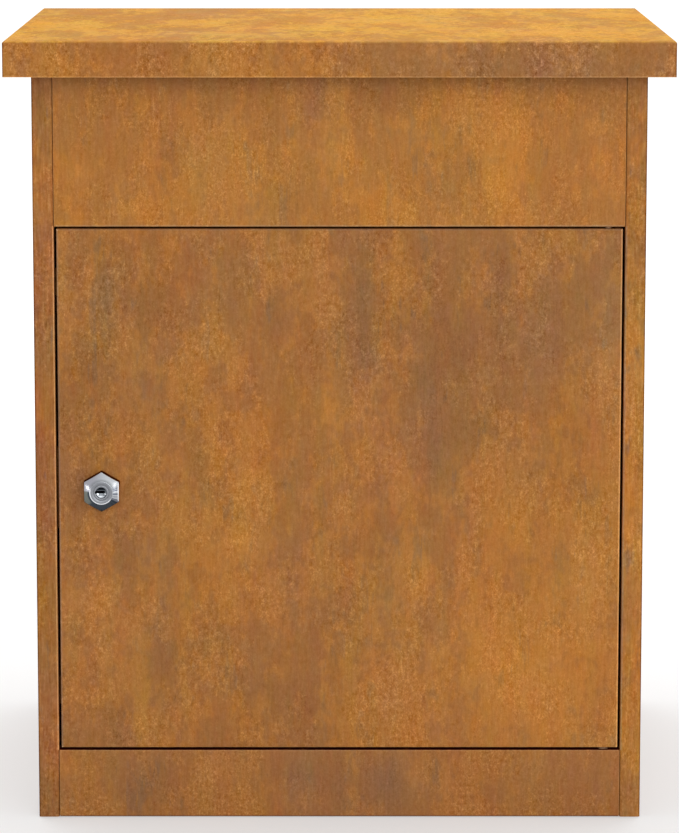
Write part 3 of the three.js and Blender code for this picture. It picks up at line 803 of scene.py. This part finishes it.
# %% Metal and rubber materials
FILM_COLOUR, FILM_ROUGHER = (124, 80, 46), 0.3
FILM_NOISE, FILM_STEP = (14.0, 6, 0.75, (1.6, 1, 1)), (0.42, 0.60)
GRAIN_DETAIL, GRAIN_ROUGHNESS, GRAIN_STEP = 5, 0.6, (0.35, 0.65)
ROUGHNESS_SPREAD = 0.2
PLAIN_BUMP = 0.4


def plain_material(
    name, colour, metallic, roughness, grain_size, grain_share, bump_mm, film_share=0.0,
):
    material, tree = new_material(name)
    position = position_in_mm(tree)
    grain = noise(tree, position, grain_size, GRAIN_DETAIL, GRAIN_ROUGHNESS).outputs[0]
    lighter = display_colour(*colour)
    darker = tuple(channel * (1 - grain_share) for channel in lighter[:3]) + (1,)
    shade = mix_colours(tree, smooth_step(tree, grain, *GRAIN_STEP), darker, lighter)
    rough = plus(tree, times(tree, grain, ROUGHNESS_SPREAD), roughness - ROUGHNESS_SPREAD / 2)
    if film_share:
        patches = noise(tree, position, *FILM_NOISE).outputs[0]
        film = times(tree, smooth_step(tree, patches, *FILM_STEP), film_share)
        shade = mix_colours(tree, film, shade, display_colour(*FILM_COLOUR))
        metallic = times(tree, calculate(tree, "SUBTRACT", 1.0, film), metallic)
        rough = calculate(tree, "ADD", rough, times(tree, film, FILM_ROUGHER), clamp=True)
    return finished(
        material, shade, rough, grain, PLAIN_BUMP, bump_mm * MM, {"Metallic": metallic}
    )


bright_steel = plain_material(
    "bright_steel", (176, 180, 186), metallic=1.0, roughness=0.26, grain_size=6.0,
    grain_share=0.25, bump_mm=0.01,
)
zinc = plain_material(
    "zinc", (150, 152, 150), metallic=1.0, roughness=0.45, grain_size=4.0, grain_share=0.35,
    bump_mm=0.02, film_share=0.85,
)
rubber = plain_material(
    "rubber", (38, 36, 35), metallic=0.0, roughness=0.75, grain_size=3.0, grain_share=0.3,
    bump_mm=0.05, film_share=0.35,
)
filmed_steel = plain_material(
    "filmed_steel", (150, 112, 78), metallic=0.0, roughness=0.6, grain_size=2.0,
    grain_share=0.45, bump_mm=0.05,
)
print("metal and rubber ready")

# %% [markdown]
# ## Dress the pieces
# A folded sheet never has a knife edge: the shear leaves a small burr that wears round. The big
# panels therefore get a copy whose edges are rolled by a fraction of a millimetre, so that they
# catch a thin line of light. Weighted normals then keep the wide faces truly flat, because smooth
# shading would otherwise lean them towards the rolled edges. The small pieces keep their own mesh.

# %% Dress the panels
EDGE_ROLL = 0.45
ROLL_SEGMENTS = 2
SAME_POINT = 0.00001
# In degrees: bends that count as flat, edges that are rolled, and bends that are shaded smooth.
FLAT_UNDER, ROLLED_OVER, SMOOTH_UNDER = 1, 35, 32


def set_mode(mode):
    bpy.ops.object.mode_set(mode=mode)


def roll_edges(piece, width, over, slot=-1):
    """Bevels every edge that bends by more than an angle; the new faces get a material slot."""
    roll = piece.modifiers.new("edge_roll", "BEVEL")
    roll.width = width * MM
    roll.segments = ROLL_SEGMENTS
    roll.limit_method = "ANGLE"
    roll.angle_limit = math.radians(over)
    roll.material = slot
    bpy.ops.object.modifier_apply(modifier=roll.name)


def remember_rolled_edges(mesh):
    """The rolled faces carry the second slot. That becomes an attribute, and the slot goes."""
    edge_wear_and_highlight = mesh.color_attributes.new(name="edge_wear_and_highlight", type="BYTE_COLOR", domain="CORNER")
    # The attribute marks edge wear and a painted highlight, which the rust lays on these faces.
    for face in mesh.polygons:
        share = 1.0 if face.material_index == 1 else 0.0
        for corner in face.loop_indices:
            edge_wear_and_highlight.data[corner].color = (share, share, share, 1)
        face.material_index = 0
    mesh.materials.pop(index=1)


def dressed_panel(name, body, material):
    bpy.ops.object.select_all(action="DESELECT")
    source = nodes[name]
    panel = source.copy()
    panel.data = source.data.copy()
    panel.name = panel.data.name = name + "_skin"
    panel.parent = None
    for key in list(panel.keys()):
        del panel[key]
    scene.collection.objects.link(panel)
    panel.select_set(True)
    bpy.context.view_layer.objects.active = panel
    set_mode("EDIT")
    bpy.ops.mesh.select_all(action="SELECT")
    bpy.ops.mesh.remove_doubles(threshold=SAME_POINT)
    bpy.ops.mesh.dissolve_limited(angle_limit=math.radians(FLAT_UNDER))
    set_mode("OBJECT")
    panel.data.materials.clear()
    panel.data.materials.append(material)
    panel.data.materials.append(material)
    roll_edges(panel, EDGE_ROLL, ROLLED_OVER, slot=1)
    bpy.ops.object.shade_smooth_by_angle(angle=math.radians(SMOOTH_UNDER))
    even = panel.modifiers.new("flat_faces", "WEIGHTED_NORMAL")
    even.weight = 100
    even.keep_sharp = True
    bpy.ops.object.modifier_apply(modifier=even.name)
    remember_rolled_edges(panel.data)
    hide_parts(name)
    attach(panel, body)
    return panel


PANELS = [
    ("door", "door_body", "rust", rust_door),
    ("upper_front_panel", "cabinet", "rust", rust_upper),
    ("plinth_panel", "cabinet", "rust", rust_plinth),
    ("side_panel_left", "cabinet", "rust", rust_left),
    ("side_panel_right", "cabinet", "rust", rust_right),
    ("back_panel", "cabinet", "rust", rust_back),
    ("base_panel", "cabinet", "inner_rust", rust_inside),
    ("lid", "lid_body", "lid_rust", rust_lid),
    ("lid_baffle", "lid_body", "inner_rust", rust_inside),
]
for name, body, slot, material in PANELS:
    panel = dressed_panel(name, body, material)
    print(name, len(panel.data.polygons), "faces")

# %% Give every other piece its finish
FINISH_OF_SLOT = {
    "rust": rust_parts, "lid_rust": rust_lid, "inner_rust": rust_inside,
    "bright_steel": bright_steel, "zinc": zinc, "rubber": rubber,
}
for name, piece in nodes.items():
    slot = piece.data.materials[0].name
    piece.data.materials[0] = FINISH_OF_SLOT[slot]
for name in ("door_pin_upper", "door_pin_lower"):
    nodes[name].data.materials[0] = filmed_steel
print("pieces finished:", len(nodes))

# %% [markdown]
# ## The lock head
# The only bright thing on the box is the cam lock: a hexagon turned to a cone, a flat round face,
# and a small sunk plug with its key slot. On the real one the bar is turned first and the six
# flats are milled after, which leaves a curved edge where each flat meets the cone. It is made
# here in the same order: one round bar is drawn out and in by extrude and resize, then six cuts by
# a plane make the flats. It is modelled standing up, then turned to face forward.

# %% Lock sizes and edit helpers
LOCK_PLACE = Vector((LOCK_X, FRONT_Y, LOCK_Z))
HEX_FLATS, HEX_HEIGHT, HEX_SIDES = 25.0, 8.0, 6
CORNER_REACH = HEX_FLATS / math.sqrt(3) + 0.2
CONE_DROP = 4.0
FACE_RADIUS = 8.25
BARREL_RADIUS, BARREL_BACK, BARREL_SIDES = 9.5, 14.5, 96
BORE_RADIUS, BORE_STOP = 5.58, 0.5
PLUG_RADIUS, PLUG_SIDES, PLUG_SUNK, PLUG_TAIL = 5.5, 72, 0.08, 0.3
DISH_RADIUS, DISH_FLOOR, DISH_DEPTH = 4.1, 3.7, 1.6
SLOT_X, SLOT_Z = -1.0, 0.45
SLOT_WIDE, SLOT_HIGH, SLOT_LONG, SLOT_MIDDLE = 7.0, 1.8, 10.0, 4.0
BARREL_ROLL, PLUG_ROLL = 0.12, 0.04
LOCK_ROLLED_OVER, LOCK_SMOOTH_UNDER = 20, 25
FACES_AXIS = 0.99
ON_RING = 0.01


def make_bar(name, radius, low, high, sides):
    """A bar standing on the axis, from a low to a high end in mm."""
    bpy.ops.object.select_all(action="DESELECT")
    bpy.ops.mesh.primitive_cylinder_add(
        vertices=sides, radius=radius * MM, depth=(high - low) * MM,
        location=(0, 0, (low + high) / 2 * MM), end_fill_type="NGON",
    )
    bar = bpy.context.object
    bar.name = bar.data.name = name
    bpy.ops.object.transform_apply(location=True, rotation=False, scale=False)
    return bar


def select_end(bar, top):
    """Enters edit mode with only the flat end face selected, the highest or the lowest."""
    if bpy.context.mode != "OBJECT":
        set_mode("OBJECT")
    flat = [face for face in bar.data.polygons if abs(face.normal.z) > FACES_AXIS]
    chosen = (max if top else min)(flat, key=lambda face: face.center.z)
    for part in (*bar.data.vertices, *bar.data.edges, *bar.data.polygons):
        part.select = False
    chosen.select = True
    set_mode("EDIT")
    bpy.ops.mesh.select_mode(type="FACE")


def draw_out(rise, old_radius, new_radius):
    """Extrudes the selected end by a rise in mm, to a new radius about the bar's axis."""
    share = new_radius / old_radius
    bpy.ops.mesh.extrude_region_move(TRANSFORM_OT_translate={"value": (0, 0, rise * MM)})
    bpy.ops.transform.resize(value=(share, share, 1), center_override=(0, 0, 0))


def face_forward(piece, roll):
    set_mode("OBJECT")
    roll_edges(piece, roll, LOCK_ROLLED_OVER)
    piece.rotation_euler = (math.radians(90), 0, 0)
    piece.location = LOCK_PLACE * MM
    bpy.ops.object.transform_apply(location=True, rotation=True, scale=True)
    bpy.ops.object.shade_smooth_by_angle(angle=math.radians(LOCK_SMOOTH_UNDER))
    print(piece.name, len(piece.data.polygons), "faces")


print("lock helpers ready")

# %% Make the barrel and its head


def make_lock_head():
    head = make_bar("lock_head", BARREL_RADIUS, -BARREL_BACK, 0, BARREL_SIDES)
    select_end(head, top=True)
    draw_out(0, BARREL_RADIUS, CORNER_REACH)
    draw_out(HEX_HEIGHT - CONE_DROP, CORNER_REACH, CORNER_REACH)
    draw_out(CONE_DROP, CORNER_REACH, FACE_RADIUS)
    draw_out(0, FACE_RADIUS, BORE_RADIUS)
    draw_out(-HEX_HEIGHT - BARREL_BACK + BORE_STOP, BORE_RADIUS, BORE_RADIUS)
    bpy.ops.mesh.delete(type="ONLY_FACE")
    select_end(head, top=False)
    draw_out(0, BARREL_RADIUS, BORE_RADIUS)
    bpy.ops.mesh.delete(type="ONLY_FACE")
    set_mode("OBJECT")
    rings = (BORE_STOP - BARREL_BACK, -BARREL_BACK)
    for edge in head.data.edges:
        ends = [head.data.vertices[index].co / MM for index in edge.vertices]
        on_bore = all(abs(end.xy.length - BORE_RADIUS) < ON_RING for end in ends)
        on_ring = any(all(abs(end.z - ring) < ON_RING for end in ends) for ring in rings)
        edge.select = on_bore and on_ring
    set_mode("EDIT")
    bpy.ops.mesh.select_mode(type="EDGE")
    bpy.ops.mesh.bridge_edge_loops()
    for step in range(HEX_SIDES):
        angle = math.radians(step * 360 / HEX_SIDES)
        way = Vector((math.cos(angle), math.sin(angle), 0))
        bpy.ops.mesh.select_all(action="SELECT")
        bpy.ops.mesh.bisect(
            plane_co=way * HEX_FLATS / 2 * MM, plane_no=way, use_fill=True, clear_outer=True,
        )
    face_forward(head, BARREL_ROLL)
    return head


lock_head = make_lock_head()

# %% Make the plug with its dish and key slot


def make_lock_plug():
    face = HEX_HEIGHT - PLUG_SUNK
    plug = make_bar("lock_core_plug", PLUG_RADIUS, -BARREL_BACK - PLUG_TAIL, face, PLUG_SIDES)
    select_end(plug, top=True)
    draw_out(0, PLUG_RADIUS, DISH_RADIUS)
    draw_out(-DISH_DEPTH, DISH_RADIUS, DISH_FLOOR)
    set_mode("OBJECT")
    bpy.ops.object.select_all(action="DESELECT")
    middle = (SLOT_X * MM, SLOT_Z * MM, (face - SLOT_MIDDLE) * MM)
    bpy.ops.mesh.primitive_cube_add(size=1, location=middle)
    cutter = bpy.context.object
    cutter.scale = (SLOT_WIDE * MM, SLOT_HIGH * MM, SLOT_LONG * MM)
    bpy.ops.object.transform_apply(location=True, rotation=False, scale=True)
    bpy.ops.object.select_all(action="DESELECT")
    plug.select_set(True)
    bpy.context.view_layer.objects.active = plug
    slot_cut = plug.modifiers.new("key_slot", "BOOLEAN")
    slot_cut.operation = "DIFFERENCE"
    slot_cut.object = cutter
    slot_cut.solver = "EXACT"
    bpy.ops.object.modifier_apply(modifier=slot_cut.name)
    bpy.data.objects.remove(cutter)
    face_forward(plug, PLUG_ROLL)
    return plug


lock_plug = make_lock_plug()

# %% [markdown]
# ## Steel with turning marks and painted reflections
# Polished steel shows what is round it, so much of its look comes from the lamps. The metal adds
# rings from the lathe on the flat face and short rubs on the cone's right where hands and keys
# pass. The rest is painted light: the cone darker on the left and lighter on the right, darker by
# the face and in streaks along the rubs, a painted highlight on its right edge and on the face's
# rim, a dark painted reflection under the head, painted light and shade in the dish with a painted
# shadow at its top and two painted glints, black painted shade in the key slot, and round the foot
# a dark painted reflection with some rust wash. All of these are measured from the lock's own axis.

# %% Lock steel
# Where each mask starts and where it is full: radii from the lock's axis, heights over the door, x
# and z from the lock's centre, all in mm, and last two noise values.
STEPS = {
    "face radius": (8.35, 8.15), "face height": (6.0, 6.6), "cone radius": (8.2, 8.6),
    "rim inside": (7.75, 8.1), "rim outside": (8.75, 8.4),
    "dish radius": (4.15, 3.95), "dish height": (7.8, 7.6),
    "foot height": (4.3, 3.6), "foot radius": (11.9, 12.2),
    "right edge highlight x": (11.6, 12.0), "right edge highlight z": (7.0, 6.0),
    "slot x": (SLOT_WIDE / 2 + 0.10, SLOT_WIDE / 2 + 0.02),
    "slot z": (SLOT_HIGH / 2 + 0.10, SLOT_HIGH / 2 + 0.02),
    "cone x": (-7, 6), "by the face": (10.6, 8.3), "under radius": (9.4, 10.6),
    "dish low": (-3.0, -1.9), "dish middle": (0.2, 0.8), "painted dish shadow": (1.7, 2.2),
    "rubs": (0.42, 0.56), "rings": (0.35, 0.65),
}
# Ways from the axis, as x and z, and how near to them a mask starts and is full.
WAYS = {
    "under": (-0.32, -0.95, 0.18, 0.30), "upper": (0.1, 0.99, 0.1, 0.7),
    "wear_and_painted_light": (0.97, -0.2, 0.70, 0.90), "under left": (-0.97, -0.25, 0.80, 0.93),
    "rim light": (-0.45, -0.89, -0.1, 0.4),
}
# Display colours. Besides the face's rings and the foot's rust wash, these are painted light.
TONES = {
    "cone left": (158, 158, 166), "cone right": (194, 197, 201), "by the face": (124, 128, 130),
    "wear_and_painted_light": (112, 116, 128), "right edge highlight": (244, 245, 247),
    "face dark": (112, 114, 118), "face light": (126, 128, 133),
    "dish foot": (150, 154, 158), "dish low": (100, 104, 108), "dish middle": (84, 88, 92),
    "painted dish shadow": (22, 26, 30), "left glint": (236, 240, 244), "right glint": (216, 220, 224),
    "under": (38, 50, 60), "under end": (104, 108, 100),
    "rim light": (232, 234, 238), "foot rust and painted reflection": (46, 32, 26), "slot": (10, 10, 12),
}
LEFT_GLINT, RIGHT_GLINT = (-2.6, -1.2, 0.95), (2.8, -1.1, 0.7)
BY_FACE_SHARE, UNDER_SHARE, FOOT_SHARE = 0.75, 0.92, 0.85
RUB_NOISE, SMUDGE_NOISE = (0.16, 3, 0.7), (5.0, 4, 0.6)
RING_SCALE, RING_DETAIL = 2.2, 3.0
STEEL_ROUGHNESS, SMUDGE_ROUGHER, FACE_ROUGHER = 0.16, 0.12, 0.14
STEEL_BUMP, STEEL_BUMP_DEPTH = 0.2, 0.00002


def make_lock_steel():
    material, tree = new_material("lock_steel")
    place = vector_math(tree, "SUBTRACT", position_in_mm(tree), tuple(LOCK_PLACE))
    part = parts_of(tree, place)
    flat = add_node(tree, "CombineXYZ", {"X": part["X"], "Z": part["Z"]}).outputs[0]
    radius = vector_math(tree, "LENGTH", flat, result="Value")
    way = vector_math(tree, "NORMALIZE", flat)
    height = times(tree, part["Y"], -1.0)

    rubs = noise(tree, way, *RUB_NOISE).outputs[0]
    rings = add_node(
        tree, "TexNoise", {"W": radius, "Scale": RING_SCALE, "Detail": RING_DETAIL},
        noise_dimensions="1D",
    ).outputs[0]
    smudge = noise(tree, place, *SMUDGE_NOISE).outputs[0]

    def step(value, name):
        return smooth_step(tree, value, *STEPS[name])

    def both(first, second):
        return times(tree, first, second)

    def distance_from(value, middle=0.0):
        return calculate(tree, "ABSOLUTE", calculate(tree, "SUBTRACT", value, middle))

    def towards(name):
        """A mask that grows as the way from the axis nears the named way."""
        x, z, low, high = WAYS[name]
        return smooth_step(
            tree, vector_math(tree, "DOT_PRODUCT", way, (x, 0, z), "Value"), low, high
        )

    def glint(x, z, reach):
        away = vector_math(tree, "DISTANCE", flat, (x, 0, z), "Value")
        return smooth_step(tree, away, reach, reach * 0.4)

    def painted(colour, *layers):
        """Lays tones over a colour, each where its mask is full."""
        for share, tone in layers:
            colour = mix_colours(tree, share, colour, display_colour(*TONES[tone]))
        return colour

    on_face = both(step(radius, "face radius"), step(height, "face height"))
    on_cone = step(radius, "cone radius")
    on_rim = both(step(radius, "rim inside"), step(radius, "rim outside"))
    in_dish = both(step(radius, "dish radius"), step(height, "dish height"))
    under = both(towards("under"), on_cone)
    upper = both(towards("upper"), on_cone)
    streaked = both(towards("wear_and_painted_light"), on_cone)
    foot = both(step(height, "foot height"), step(radius, "foot radius"))
    # A painted highlight along the cone's right edge.
    right_edge_highlight = both(
        step(part["X"], "right edge highlight x"), step(distance_from(part["Z"]), "right edge highlight z")
    )
    in_slot = both(
        step(distance_from(part["X"], SLOT_X), "slot x"),
        step(distance_from(part["Z"], SLOT_Z), "slot z"),
    )

    # Painted reflection on the cone: dark left, light right, darker by the face and along the rubs.
    cone_tone = painted(
        display_colour(*TONES["cone left"]),
        (step(part["X"], "cone x"), "cone right"),
        (both(upper, times(tree, step(radius, "by the face"), BY_FACE_SHARE)), "by the face"),
        (both(streaked, step(rubs, "rubs")), "wear_and_painted_light"),
        (right_edge_highlight, "right edge highlight"),
    )
    face_tone = painted(display_colour(*TONES["face dark"]), (step(rings, "rings"), "face light"))
    # The dish: painted light and shade, light at its foot, a painted shadow at its top, painted
    # glints.
    dish_tone = painted(
        display_colour(*TONES["dish foot"]),
        (step(part["Z"], "dish low"), "dish low"),
        (step(part["Z"], "dish middle"), "dish middle"),
        (step(part["Z"], "painted dish shadow"), "painted dish shadow"),
        (glint(*LEFT_GLINT), "left glint"),
        (glint(*RIGHT_GLINT), "right glint"),
    )
    # Under the head a dark painted reflection, olive-grey towards the lower left.
    under_tone = painted(
        display_colour(*TONES["under"]),
        (both(towards("under left"), step(radius, "under radius")), "under end"),
    )
    colour = mix_colours(tree, on_face, cone_tone, face_tone)
    colour = mix_colours(tree, in_dish, colour, dish_tone)
    colour = mix_colours(tree, both(under, UNDER_SHARE), colour, under_tone)
    # Painted highlight on the rim, dark painted reflection and rust wash at the foot, shade in the
    # slot.
    colour = painted(
        colour,
        (both(on_rim, towards("rim light")), "rim light"),
        (both(foot, FOOT_SHARE), "foot rust and painted reflection"),
        (in_slot, "slot"),
    )
    roughness = plus(tree, times(tree, smudge, SMUDGE_ROUGHER), STEEL_ROUGHNESS)
    roughness = plus(tree, roughness, times(tree, on_face, FACE_ROUGHER))
    relief = mix_colours(tree, on_face, both(rubs, streaked), rings)
    return finished(
        material, colour, roughness, relief, STEEL_BUMP, STEEL_BUMP_DEPTH, {"Metallic": 1.0}
    )


lock_steel = make_lock_steel()
for piece, node, body in (
    (lock_head, "lock_barrel", "door_body"), (lock_plug, "lock_plug", "lock_core"),
):
    piece.data.materials.clear()
    piece.data.materials.append(lock_steel)
    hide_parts(node)
    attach(piece, body)
print("lock dressed")

# %% [markdown]
# ## Weld beads inside the back corners
# The back panel only touches the side panels' lips, so on the real box a weld closes each joint.
# Without it, light shines through the joint when the door is open. A bead is a row of overlapping
# ripples. It starts as a thin many-sided bar, is cut into short rings along its length, and every
# other ring is drawn in. The select mode is set before the parts are chosen, because a change of
# mode alters the choice. Both beads are made the same way, each with its own mesh.

# %% Make the weld beads
BEAD_RADIUS = 1.3
BEAD_LOW, BEAD_HIGH = 4.0, 536.0
BEAD_SIDES, BEAD_RINGS = 10, 100
BEAD_WAIST = 0.72
BEAD_SMOOTH_UNDER = 60
UPRIGHT_OVER = 0.1
BEAD_X, BEAD_Y = 204.7, 182.3


def choose_by(kind):
    """Sets the select mode and clears the choice, then leaves edit mode for the choosing."""
    set_mode("EDIT")
    bpy.ops.mesh.select_mode(type=kind)
    bpy.ops.mesh.select_all(action="DESELECT")
    set_mode("OBJECT")


def make_weld_bead(name, side):
    bead = make_bar(name, BEAD_RADIUS, BEAD_LOW, BEAD_HIGH, BEAD_SIDES)
    choose_by("EDGE")
    for edge in bead.data.edges:
        low, high = sorted(bead.data.vertices[index].co.z for index in edge.vertices)
        edge.select = high - low > UPRIGHT_OVER
    set_mode("EDIT")
    bpy.ops.mesh.subdivide(number_cuts=BEAD_RINGS)
    set_mode("OBJECT")
    choose_by("VERT")
    pitch = (BEAD_HIGH - BEAD_LOW) / (BEAD_RINGS + 1)
    for vertex in bead.data.vertices:
        ring = round((vertex.co.z / MM - BEAD_LOW) / pitch)
        vertex.select = ring % 2 == 1 and ring <= BEAD_RINGS
    set_mode("EDIT")
    bpy.ops.transform.resize(value=(BEAD_WAIST, BEAD_WAIST, 1), center_override=(0, 0, 0))
    set_mode("OBJECT")
    bead.location = (side * BEAD_X * MM, BEAD_Y * MM, 0)
    bpy.ops.object.transform_apply(location=True, rotation=True, scale=True)
    bpy.ops.object.shade_smooth_by_angle(angle=math.radians(BEAD_SMOOTH_UNDER))
    bead.data.materials.append(rust_inside)
    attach(bead, "cabinet")
    return bead


for name, side in (("weld_bead_left", -1), ("weld_bead_right", 1)):
    bead = make_weld_bead(name, side)
    print(name, len(bead.data.polygons), "faces")
